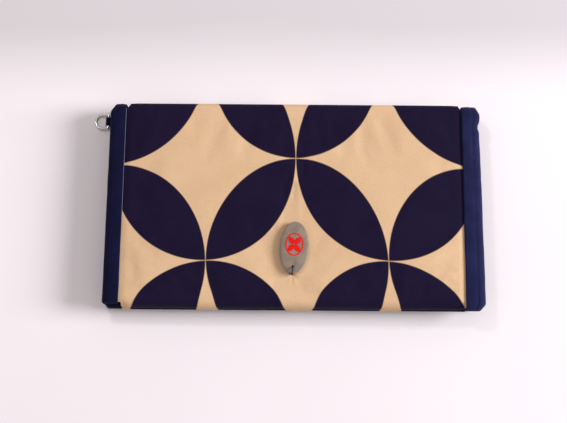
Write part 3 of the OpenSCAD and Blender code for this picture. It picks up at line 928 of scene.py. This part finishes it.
def seamRun(side):
    # a thin pale line beside the folded edge of the left strip, made as a thread
    run = []
    for s in pathFrames(frontOutline(1.2 * mm), 1):
        if s["y"] < foldStart + 1 * mm and s["z"] > wallet["top"] - 1 * mm:
            x = side * (sideEdge(side, "seam", s["y"]) - 0.12 * mm)
            x += 0.06 * mm * softNoise(s["y"], 0, 8 * mm, 61)
            run.append((x, s["y"], s["z"] - 0.42 * mm))
    return run


seamThread = runTube("seam_thread_left", [seamRun(-1)], 0.11 * mm)
finishPiece(seamThread, None, paleThread, (), frontBend)
print("bindings built")


# ---- lining of both covers, round the inside of the fold

liningShape = {"cloth": 0.5 * mm, "step": 2.5 * mm, "cornerRadius": 2.2 * mm, "half": 98.6 * mm}


def liningSheet(name, front):
    shape = liningShape
    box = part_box("front_lining" if front else "rear_lining")
    level = (box[0].z + box[1].z) / 2
    r = shape["cornerRadius"]
    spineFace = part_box("spine_lining")[0].y + 0.3 * mm
    turnAt = spineFace - r
    toCentre = -1 if front else 1
    angles = (90, 0) if front else (270, 360)
    path = joinPath(
        lineRun((box[0].y, level), (turnAt, level), shape["step"]),
        arcPoints(turnAt, level + toCentre * r, r, angles[0], angles[1], 0.5 * mm),
        lineRun((spineFace, level + toCentre * r), (spineFace, midSpine), 0.7 * mm))
    stations = pathFrames(path, 1 if front else -1)
    columns = 61
    outer, inner, flat = [], [], []
    for s in stations:
        narrow = 9.3 * mm * smoothStep(turnAt, spineFace, s["y"])
        for c in range(columns):
            x = (-1 + 2 * c / (columns - 1)) * (shape["half"] - narrow)
            ripple = 0.05 * mm * softNoise(x, s["length"], 15 * mm, 21)
            for sign, store in ((0.5, outer), (-0.5, inner)):
                d = sign * shape["cloth"] + ripple
                store.append((x, s["y"] + s["ny"] * d, s["z"] + s["nz"] * d))
            flat.append((x, s["length"]))
    return closedSheet(name, outer, inner, flat, len(stations), columns, front)


def closedSheet(name, upper, lower, flat, rows, columns, up=True):
    return makeObject(name, upper + lower, slabFaces(rows, columns, up), flat + flat, 60)


frontLining = liningSheet("front_lining_cloth", True)
finishPiece(frontLining, None, navyLining, ("front_lining", "spine_lining"), frontBend)
rearLining = liningSheet("rear_lining_cloth", False)
finishPiece(rearLining, None, navyLining, ("rear_lining",), rearBend)
print("lining built")


# ---- pockets: sheets of lining between the bindings

def flatSheet(name, node, hemAt=None, ripple=0.03 * mm, trim=0.0):
    # hemAt is 1 for a hem along the edge nearer the fold
    low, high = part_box(node)
    columns, rows = 67, max(9, int((high.y - low.y) / (1.6 * mm)))
    upper, lower, flat = [], [], []
    for r in range(rows):
        y = low.y + (high.y - low.y) * r / (rows - 1)
        for c in range(columns):
            x = (low.x + trim) + (high.x - low.x - 2 * trim) * c / (columns - 1)
            wave = ripple * softNoise(x, y, 14 * mm, 31)
            fold = 0.0
            if hemAt and high.y - y < 6 * mm:
                fold = 0.04 * mm
            upper.append((x, y, high.z + wave + fold))
            lower.append((x, y, low.z + wave - fold))
            flat.append((x, y))
    return closedSheet(name, upper, lower, flat, rows, columns)


pocketTrim = 2.6 * mm     # the sides stay clear of the rounded edge inside each binding
for node, label in (("card_pocket_1", "front_cover"), ("card_pocket_2", "front_cover"),
                    ("card_pocket_3", "front_cover"), ("bill_pocket_panel", "rear_cover"),
                    ("coin_pocket_front", "rear_cover"), ("coin_pocket_top", "rear_cover")):
    low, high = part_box(node)
    sheet = flatSheet(node + "_cloth", node, hemAt=1 if node.startswith("card") else None, trim=pocketTrim)
    finishPiece(sheet, label, navyLining, (node,))


def softened(node, name, body, material, width, reach=None):
    # a copy of the part with its edges rounded over, its ends drawn in to reach
    source = nodes[node]
    mesh = source.data.copy()
    mesh.name = name
    piece = bpy.data.objects.new(name, mesh)
    bpy.context.scene.collection.objects.link(piece)
    weld = piece.modifiers.new("weld", "WELD")
    weld.merge_threshold = 0.00001
    bevel = piece.modifiers.new("rounded", "BEVEL")
    bevel.width = width
    bevel.segments = 2
    bevel.limit_method = "ANGLE"
    bevel.angle_limit = math.radians(40)
    graph = bpy.context.evaluated_depsgraph_get()
    done = bpy.data.meshes.new_from_object(piece.evaluated_get(graph))
    piece.modifiers.clear()
    piece.data = done
    points = np.zeros(len(done.vertices) * 3)
    done.vertices.foreach_get("co", points)
    points = points.reshape(-1, 3)
    if reach:
        points[:, 0] = np.clip(points[:, 0], -reach, reach)
        done.vertices.foreach_set("co", points.ravel())
    while done.uv_layers:
        done.uv_layers.remove(done.uv_layers[0])
    layer = done.uv_layers.new(name="flat")
    corner = np.zeros(len(done.loops), np.int32)
    done.loops.foreach_get("vertex_index", corner)
    spread = np.stack([points[:, 0], points[:, 1] + points[:, 2]], 1)
    layer.data.foreach_set("uv", spread[corner].astype(np.float32).ravel())
    done.shade_smooth()
    done.set_sharp_from_angle(angle=math.radians(50))
    return finishPiece(piece, body, material, (node,))


# CAD node, piece, body, slot, material and how far its edges are rounded
fittings = (
    ("pocket_top_binding", "pocket_top_binding_cloth", "rear_cover", "binding_cloth", navyBinding, 0.25),
    ("pocket_bottom_seam", "pocket_bottom_seam_cloth", "rear_cover", "lining_cloth", navyLining, 0.4),
    ("zip_tape_upper", "zip_tape_upper_cloth", "rear_cover", "zip_tape", zipTapeCloth, 0.15),
    ("zip_tape_lower", "zip_tape_lower_cloth", "rear_cover", "zip_tape", zipTapeCloth, 0.15),
    ("ring_tab", "ring_tab_cloth", "rear_cover", "binding_cloth", navyBinding, 0.18),
    ("zip_stops", "zip_stops_metal", "rear_cover", "zip_metal", zipMetal, 0.3),
    ("zip_slider", "zip_slider_metal", "slider", "zip_metal", zipMetal, 0.12),
    ("zip_pull", "zip_pull_metal", "slider", "zip_metal", zipMetal, 0.12),
    ("snap_socket_cap", "snap_socket_metal", "rear_cover", "steel", steelBright, 0.3),
    ("snap_stud", "snap_stud_metal", "front_cover", "steel", steelBright, 0.2),
    ("snap_magnet", "snap_magnet_disc", "rear_cover", "magnet", magnetDark, 0.1),
    ("snap_socket_base", "snap_base_metal", "rear_cover", "steel", steelBright, 0.08),
    ("snap_socket_washer", "snap_washer_rear", "rear_cover", "steel", steelBright, 0.08),
    ("snap_stud_washer", "snap_washer_front", "front_cover", "steel", steelBright, 0.08),
)
for node, name, body, slotName, material, rounding in fittings:
    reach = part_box(node)[1].x - pocketTrim if slotName == "zip_tape" else None
    softened(node, name, body, material, rounding * mm, reach)
nodes["strap_ring"].data.materials.append(steelBright)
print("pockets and fittings built")


# ---- stitching on the pockets, a hair above the cloth

stitchShape = {"radius": 0.13 * mm, "inset": 2.2 * mm}


def stitchPiece(name, body, lines, below=False):
    # lines of (y, z); below is for stitches that show on the underside
    runs = []
    for y, z in lines:
        for run in stitchRuns((-seamX, y, z), (seamX, y, z)):
            runs.append([(p[0], p[1], 2 * z - p[2]) for p in run] if below else run)
    return finishPiece(runTube(name, runs, stitchShape["radius"]), body, navyThread)


inset = stitchShape["inset"]
seamX = wallet["cloth"] - 2 * mm
for node in ("card_pocket_1", "card_pocket_2", "card_pocket_3"):
    low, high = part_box(node)
    stitchPiece(node + "_stitches", "front_cover",
                [(high.y - inset, low.z), (high.y - inset - 1.6 * mm, low.z)], below=True)
low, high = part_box("card_pocket_3")
stitchPiece("card_pocket_bottom_stitches", "front_cover", [(low.y + inset, low.z)], below=True)

frontLow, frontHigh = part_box("coin_pocket_front")
topLow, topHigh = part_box("coin_pocket_top")
edgeLow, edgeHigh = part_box("pocket_top_binding")
stitchPiece("coin_pocket_stitches", "rear_cover", [
    (frontHigh.y - inset, frontHigh.z), (topLow.y + inset, topHigh.z), (frontLow.y + inset, frontHigh.z),
    (edgeLow.y + 1 * mm, edgeHigh.z)])
tapeLow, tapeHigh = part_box("zip_tape_upper")
stitchPiece("zip_tape_stitches", "rear_cover", [
    (tapeHigh.y - inset, tapeHigh.z), (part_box("zip_tape_lower")[0].y + inset, tapeHigh.z)])


# ---- zip teeth

toothShape = {"pitch": 1.9 * mm, "length": 1.15 * mm, "bevel": 0.22 * mm}


def toothRow(node, name, shift):
    low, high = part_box(node)
    shape = toothShape
    zipLine = (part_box("zip_tape_upper")[0].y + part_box("zip_tape_lower")[1].y) / 2
    inward = 1 if (low.y + high.y) / 2 < zipLine else -1
    count = int((high.x - low.x) / shape["pitch"]) - 1
    points, faces = [], []
    b = shape["bevel"]
    for i in range(count):
        x = low.x + shape["pitch"] * (i + 0.5 + shift)
        half = shape["length"] / 2
        first = len(points)
        for z, inset in ((low.z, 0.0), (high.z - b, 0.0), (high.z, b)):
            for dx, dy in ((-half, 0), (half, 0), (half * 0.75, 1), (-half * 0.75, 1)):
                y = (low.y if inward > 0 else high.y) + inward * dy * (high.y - low.y)
                points.append((x + math.copysign(max(abs(dx) - inset, 0.05 * mm), dx),
                               y + inward * (inset if dy == 0 else -inset), z))
        for ring in (0, 4):
            loopA = [first + ring + k for k in range(4)]
            loopB = [first + ring + 4 + k for k in range(4)]
            faces += bridge(loopA, loopB)
        faces.append(tuple(first + 8 + k for k in range(4)))
        faces.append(tuple(first + k for k in (3, 2, 1, 0)))
    if inward < 0:
        faces = [tuple(reversed(f)) for f in faces]
    row = makeObject(name, points, faces, None, 30)
    return finishPiece(row, "rear_cover", zipMetal, (node,))


toothRow("zip_teeth_upper", "zip_teeth_row_upper", 0.0)
toothRow("zip_teeth_lower", "zip_teeth_row_lower", 0.5)
print("zip built")


# ---- oval tag, its painted flower and its thread

tagShape = {
    "halfWidth": 7.5 * mm,
    "halfLength": 13.75 * mm,
    "thickness": 2.0 * mm,
    "rim": 1.45 * mm,
    "holeAt": 2.0 * mm,
    "holeRadius": 0.75 * mm,
}


def tagFrame():
    c = tagLoop["centre"]
    return Matrix.Translation(c) @ Matrix.Rotation(tagLoop["turn"], 4, "Z")


def tagSurface(x, y, side):
    # height of the domed face over the tag's middle plane; y is measured from the tag's own middle
    rho = min(1.0, math.hypot(x / tagShape["halfWidth"], y / tagShape["halfLength"]))
    edge = 0.34 + 0.66 * math.sqrt(max(0.0, 1 - rho ** 3.2))
    return side * tagShape["thickness"] / 2 * edge


def ovalTag():
    shape = tagShape
    middle = shape["halfLength"] - shape["rim"]
    holeY = shape["holeAt"] - middle
    around, rings = 96, 26
    place = tagFrame()
    points, faces = [], []
    for side in (1, -1):
        for ring in range(rings + 1):
            t = 1 - (1 - ring / rings) ** 1.6
            for i in range(around):
                a = 2 * math.pi * i / around
                hx, hy = shape["holeRadius"] * math.cos(a), holeY + shape["holeRadius"] * math.sin(a)
                ox, oy = shape["halfWidth"] * math.cos(a), shape["halfLength"] * math.sin(a)
                x, y = hx + (ox - hx) * t, hy + (oy - hy) * t
                z = tagSurface(x, y, side)
                if ring == 0:
                    z -= side * 0.18 * mm
                elif ring == 1:
                    z -= side * 0.03 * mm
                points.append(place @ Vector((x, y + middle, z)))
    size = (rings + 1) * around
    faces += gridFaces(rings + 1, around, wrapColumns=True, flip=True)
    faces += gridFaces(rings + 1, around, wrapColumns=True, first=size)
    faces += [tuple(reversed(f)) for f in bridge([rings * around + i for i in range(around)],
                                                 [size + rings * around + i for i in range(around)])]
    faces += bridge(list(range(around)), [size + i for i in range(around)])
    return makeObject("oval_tag_disc", points, faces, None, 55)


flower = {
    "middle": 1.5 * mm,
    "petalLength": 4.4 * mm,
    "petalWidth": 3.0 * mm,
    "lifts": (0.09 * mm, -0.05 * mm),     # the paint's face, and its underside in the dome
    "ringWidth": 0.65 * mm,
    "ringHalf": (4.7 * mm, 6.1 * mm),
}


def paintedFlower():
    # four petals inside an oval ring, lying on the dome
    place = tagFrame()
    middle = tagShape["halfLength"] - tagShape["rim"]
    points, faces = [], []

    def layOn(outline):
        for lift in flower["lifts"]:
            for x, y in outline:
                points.append(place @ Vector((x, y + middle, tagSurface(x, y, 1) + lift)))

    for petal in range(4):
        turn = math.radians(45 + 90 * petal)
        grid, rows, columns = [], 13, 7
        for r in range(rows):
            along = 0.07 + 0.93 * r / (rows - 1)
            width = flower["petalWidth"] / 2 * math.sin(math.pi * min(0.985, max(0.03, along))) ** 0.8
            for c in range(columns):
                across = (-1 + 2 * c / (columns - 1)) * width
                reach = along * flower["petalLength"]
                x = reach * math.cos(turn) + across * math.sin(turn)
                y = reach * math.sin(turn) * 1.25 - across * math.cos(turn)
                grid.append((x, y + flower["middle"]))
        faces.extend(slabFaces(rows, columns, first=len(points)))
        layOn(grid)
    around = 64
    first = len(points)
    outline = []
    for inset in (0.0, flower["ringWidth"]):
        halfX, halfY = (size - inset for size in flower["ringHalf"])
        for i in range(around):
            a = 2 * math.pi * i / around
            outline.append((halfX * math.cos(a), halfY * math.sin(a) + flower["middle"]))
    layOn(outline)
    rings = [[first + k * around + i for i in range(around)] for k in range(4)]
    faces.extend(bridge(rings[0], rings[1]))
    faces.extend(tuple(reversed(f)) for f in bridge(rings[2], rings[3]))
    faces.extend(tuple(reversed(f)) for f in bridge(rings[0], rings[2]))
    faces.extend(bridge(rings[1], rings[3]))
    return makeObject("tag_flower_paint", points, faces, None, 50)


def threadLoop():
    # two plies twisted round each other, in the upright ring that ties the tag down
    place = tagFrame()
    stations, twists = 220, 9
    parts = ([], [], [])
    for ply in (0, 1):
        line = []
        for i in range(stations):
            a = 2 * math.pi * i / stations
            out = Vector((0, math.cos(a), math.sin(a)))
            sideways = Vector((1, 0, 0))
            b = twists * a + math.pi * ply
            centre = out * tagLoop["radius"] + (out * math.cos(b) + sideways * math.sin(b)) * 0.2 * mm
            line.append((place @ centre, place.to_3x3() @ out, place.to_3x3() @ sideways))
        addTube(parts, line, 0.23 * mm, 8, closed=True)
    return makeObject("tag_thread_loop", *parts, 60)


finishPiece(ovalTag(), "tag", tagShell, ("oval_tag",))
finishPiece(paintedFlower(), "tag", tagPaint, ("tag_emblem",))
finishPiece(threadLoop(), "thread", blackThread, ("tag_thread",))
print("tag built")


# ---- floor, light and camera

studio = {
    "floorHalf": 1.6,
    "floor": rgb(240, 232, 236),
    # painted shade colour for the floor's far part and its dappled patches
    "floorPaintedShade": rgb(207, 200, 204),
    "target": Vector((-5.3 * mm, -3.3 * mm, 8 * mm)),
    "distance": 0.65,
    "elevation": math.radians(76),
    "roll": math.radians(0.45),
    "lens": 77.6,
}

floorHalf = studio["floorHalf"]
corners = [(x * floorHalf, y * floorHalf, 0) for x, y in ((-1, -1), (1, -1), (1, 1), (-1, 1))]
floor = makeObject("floor", corners, [(0, 1, 2, 3)])
floorMaterial, floorTree, floorShader = newMaterial("paleFloor", roughness=0.7)
floorPlace = objectCoords(floorTree)
# painted shade on the floor: it darkens farther back, and soft noise patches stand for dappled shadow
paintedDappleNoise = noiseValue(floorTree, floorPlace, 5.0, 3.0)
paper = noiseValue(floorTree, floorPlace, 900.0, 3.0)
depthAway = addNode(floorTree, "ShaderNodeSeparateXYZ", {0: floorPlace}).outputs[1]
paintedShadeFarther = remap(floorTree, depthAway, 0.058, 0.115)
paintedDapple = remap(floorTree, paintedDappleNoise, 0.3, 0.7)
shade = calc(floorTree, "MULTIPLY_ADD", paintedDapple, 0.12, paintedShadeFarther, clamp=True)
floorTree.links.new(mixColour(floorTree, shade, studio["floor"], studio["floorPaintedShade"]),
                    floorShader.inputs["Base Color"])
bumpInto(floorTree, floorShader, paper, 0.00005, 0.4)
floor.data.materials.append(floorMaterial)


def areaLight(name, place, aim, size, power, colour):
    lamp = bpy.data.lights.new(name, "AREA")
    lamp.shape = "DISK"
    lamp.size = size
    lamp.energy = power
    lamp.color = colour
    holder = bpy.data.objects.new(name, lamp)
    bpy.context.scene.collection.objects.link(holder)
    holder.location = place
    holder.rotation_mode = "QUATERNION"
    holder.rotation_quaternion = (Vector(aim) - Vector(place)).to_track_quat("-Z", "Y")
    return holder


areaLight("key", (1.75, 0.05, 0.9), (0, 0, 0), 0.9, 51, (0.97, 0.98, 1.0))
areaLight("glint", (-0.25, 0.3, 0.6), (-0.1, 0.05, 0), 0.1, 0.7, (1.0, 1.0, 1.0))
world = bpy.data.worlds.new("studio")
bpy.context.scene.world = world
world.use_nodes = True
world.node_tree.nodes["Background"].inputs["Color"].default_value = (1.0, 0.94, 0.93, 1)
world.node_tree.nodes["Background"].inputs["Strength"].default_value = 0.5
bpy.context.scene.view_settings.view_transform = "Standard"

back = Vector((0, -math.cos(studio["elevation"]), math.sin(studio["elevation"])))
right = Vector((1, 0, 0))
up = back.cross(right)
turned = Matrix.Rotation(studio["roll"], 3, back)
right, up = turned @ right, turned @ up
camera = bpy.data.objects.new("camera", bpy.data.cameras.new("camera"))
bpy.context.scene.collection.objects.link(camera)
camera.data.lens = studio["lens"]
camera.data.clip_start = 0.01
camera.data.clip_end = 20
camera.matrix_world = Matrix.Translation(studio["target"] + back * studio["distance"]) @ Matrix(
    ((right.x, up.x, back.x), (right.y, up.y, back.y), (right.z, up.z, back.z))).to_4x4()
bpy.context.scene.camera = camera
print("stage set")
